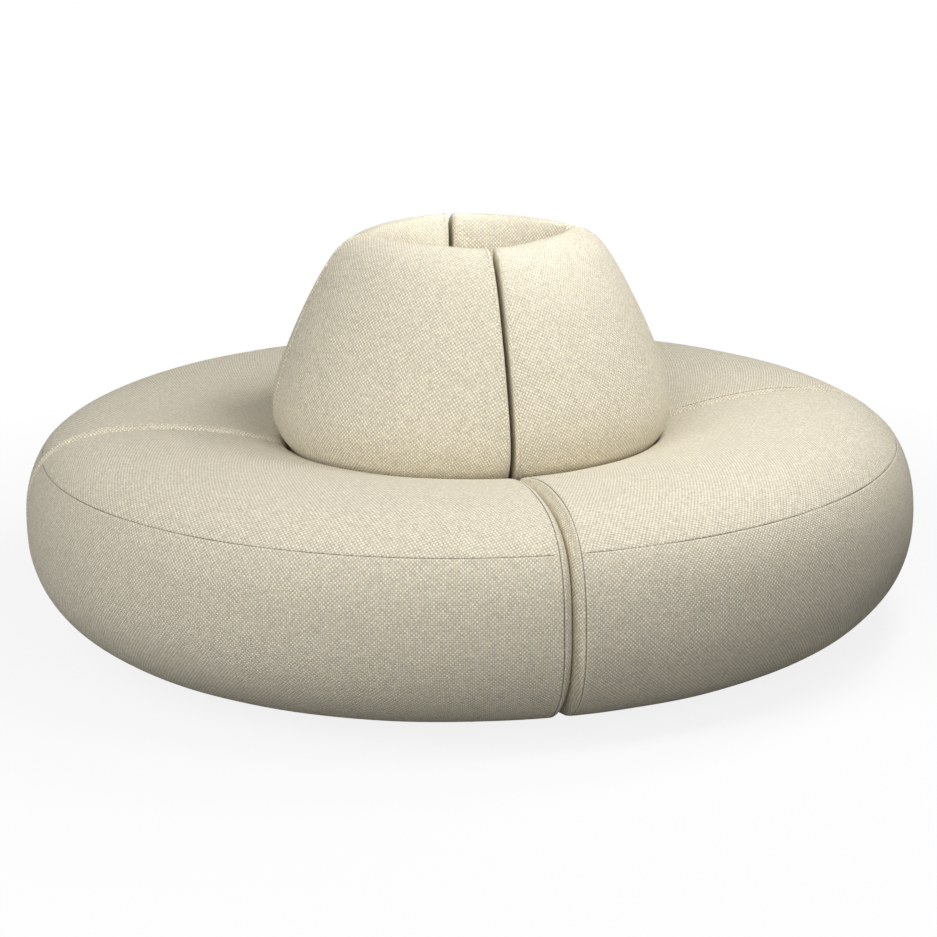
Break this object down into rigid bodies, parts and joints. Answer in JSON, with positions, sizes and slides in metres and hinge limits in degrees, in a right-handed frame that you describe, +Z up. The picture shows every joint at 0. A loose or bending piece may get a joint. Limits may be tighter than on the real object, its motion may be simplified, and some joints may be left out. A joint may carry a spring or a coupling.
{
  "type": "modular sofa",
  "caption": "Round upholstered lounge sofa of pull-apart modules: each is a slice of a fat ring seat with its share of a sloping backrest round an open well.",
  "frame": {"origin": "on the floor, on the axis of the ring", "axes": "+Z up along the axis of the ring; the joints between modules lie in the planes X = 0 and Y = 0, and -Y is the side nearest the camera in the picture"},
  "size_m": [1.8936, 1.8936, 0.838],
  "materials": {
    "upholstery": "matt ivory basket weave",
    "plywood": "sanded birch plywood",
    "dust_cloth": "black non-woven cloth",
    "nylon": "moulded black nylon",
    "zinc_plated_steel": "bright zinc-plated pressed steel"
  },
  "bodies": {
    "front_right": {"seat_cushion_front_right": "upholstery", "back_cushion_front_right": "upholstery", "base_board_front_right": "plywood", "seat_deck_front_right": "plywood", "back_panel_front_right": "plywood", "left_rib_front_right": "plywood", "middle_rib_front_right": "plywood", "right_rib_front_right": "plywood", "dust_cover_front_right": "dust_cloth", "left_glide_front_right": "nylon", "middle_glide_front_right": "nylon", "right_glide_front_right": "nylon", "inner_glide_front_right": "nylon", "joining_tongue_front_right": "zinc_plated_steel", "joining_receiver_front_right": "zinc_plated_steel"},
    "rear_right": {"seat_cushion_rear_right": "upholstery", "back_cushion_rear_right": "upholstery", "base_board_rear_right": "plywood", "seat_deck_rear_right": "plywood", "back_panel_rear_right": "plywood", "left_rib_rear_right": "plywood", "middle_rib_rear_right": "plywood", "right_rib_rear_right": "plywood", "dust_cover_rear_right": "dust_cloth", "left_glide_rear_right": "nylon", "middle_glide_rear_right": "nylon", "right_glide_rear_right": "nylon", "inner_glide_rear_right": "nylon", "joining_tongue_rear_right": "zinc_plated_steel", "joining_receiver_rear_right": "zinc_plated_steel"},
    "rear_left": {"seat_cushion_rear_left": "upholstery", "back_cushion_rear_left": "upholstery", "base_board_rear_left": "plywood", "seat_deck_rear_left": "plywood", "back_panel_rear_left": "plywood", "left_rib_rear_left": "plywood", "middle_rib_rear_left": "plywood", "right_rib_rear_left": "plywood", "dust_cover_rear_left": "dust_cloth", "left_glide_rear_left": "nylon", "middle_glide_rear_left": "nylon", "right_glide_rear_left": "nylon", "inner_glide_rear_left": "nylon", "joining_tongue_rear_left": "zinc_plated_steel", "joining_receiver_rear_left": "zinc_plated_steel"},
    "front_left": {"seat_cushion_front_left": "upholstery", "back_cushion_front_left": "upholstery", "base_board_front_left": "plywood", "seat_deck_front_left": "plywood", "back_panel_front_left": "plywood", "left_rib_front_left": "plywood", "middle_rib_front_left": "plywood", "right_rib_front_left": "plywood", "dust_cover_front_left": "dust_cloth", "left_glide_front_left": "nylon", "middle_glide_front_left": "nylon", "right_glide_front_left": "nylon", "inner_glide_front_left": "nylon", "joining_tongue_front_left": "zinc_plated_steel", "joining_receiver_front_left": "zinc_plated_steel"}
  },
  "joints": [
    {"name": "front_right_pull_out", "type": "slide", "parent": "front_left", "child": "front_right", "axis": [0.7071, -0.7071, 0], "range_m": [0, 0.4]},
    {"name": "rear_right_pull_out", "type": "slide", "parent": "front_left", "child": "rear_right", "axis": [0.7071, 0.7071, 0], "range_m": [0, 0.4]},
    {"name": "rear_left_pull_out", "type": "slide", "parent": "front_left", "child": "rear_left", "axis": [-0.7071, 0.7071, 0], "range_m": [0, 0.4]}
  ]
}
